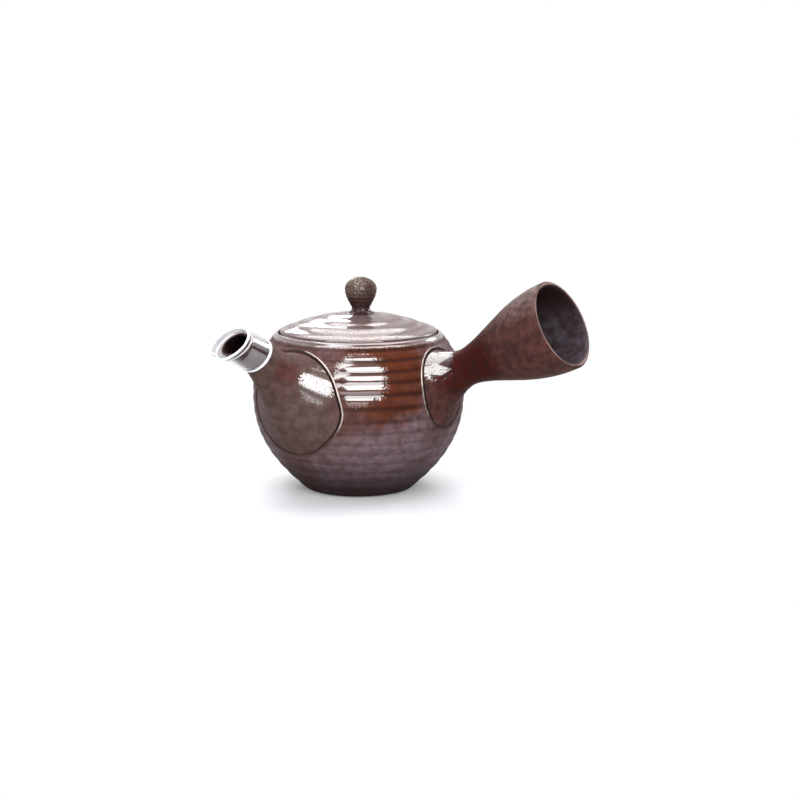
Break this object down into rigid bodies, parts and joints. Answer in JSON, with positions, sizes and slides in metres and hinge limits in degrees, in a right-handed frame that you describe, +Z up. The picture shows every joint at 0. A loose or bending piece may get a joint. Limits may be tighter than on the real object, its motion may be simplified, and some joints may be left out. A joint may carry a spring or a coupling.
{
  "type": "teapot",
  "caption": "Side-handled clay teapot (kyusu): ringed round pot, arched spout with clear guard, hollow horn handle, sunk lid with onion knob, pierced clay strainer.",
  "frame": {"origin": "centre of the flat foot, on the table", "axes": "+Z up along the pot's axis, +X along the handle seen from above; the spout points to -Y"},
  "size_m": [0.169, 0.1455, 0.1053],
  "materials": {
    "pot_clay": "unglazed purple-brown stoneware, semi-gloss, with red-brown fire marks",
    "spout_clay": "unglazed grey-brown stoneware, semi-gloss",
    "handle_clay": "unglazed red-brown stoneware, satin",
    "inner_clay": "bare stoneware, matt",
    "bead_clay": "smoothed stoneware seam, semi-gloss",
    "lid_clay": "unglazed purple-grey stoneware, semi-gloss",
    "knob_clay": "unglazed dark brown stoneware, semi-gloss",
    "clear_vinyl": "clear soft vinyl"
  },
  "bodies": {
    "pot": {"pot_body": "pot_clay", "spout": "spout_clay", "handle": "handle_clay", "strainer": "inner_clay", "spout_luting_bead": "bead_clay", "handle_luting_bead": "bead_clay"},
    "lid": {"lid": "lid_clay", "knob": "knob_clay"},
    "spout_guard": {"spout_guard": "clear_vinyl"}
  },
  "joints": [
    {"name": "lid_lift", "type": "slide", "parent": "pot", "child": "lid", "axis": [0, 0, 1], "range_m": [0, 0.06]},
    {"name": "guard_pull", "type": "slide", "parent": "pot", "child": "spout_guard", "axis": [-0.0931, -0.8861, 0.454], "range_m": [0, 0.025]}
  ]
}
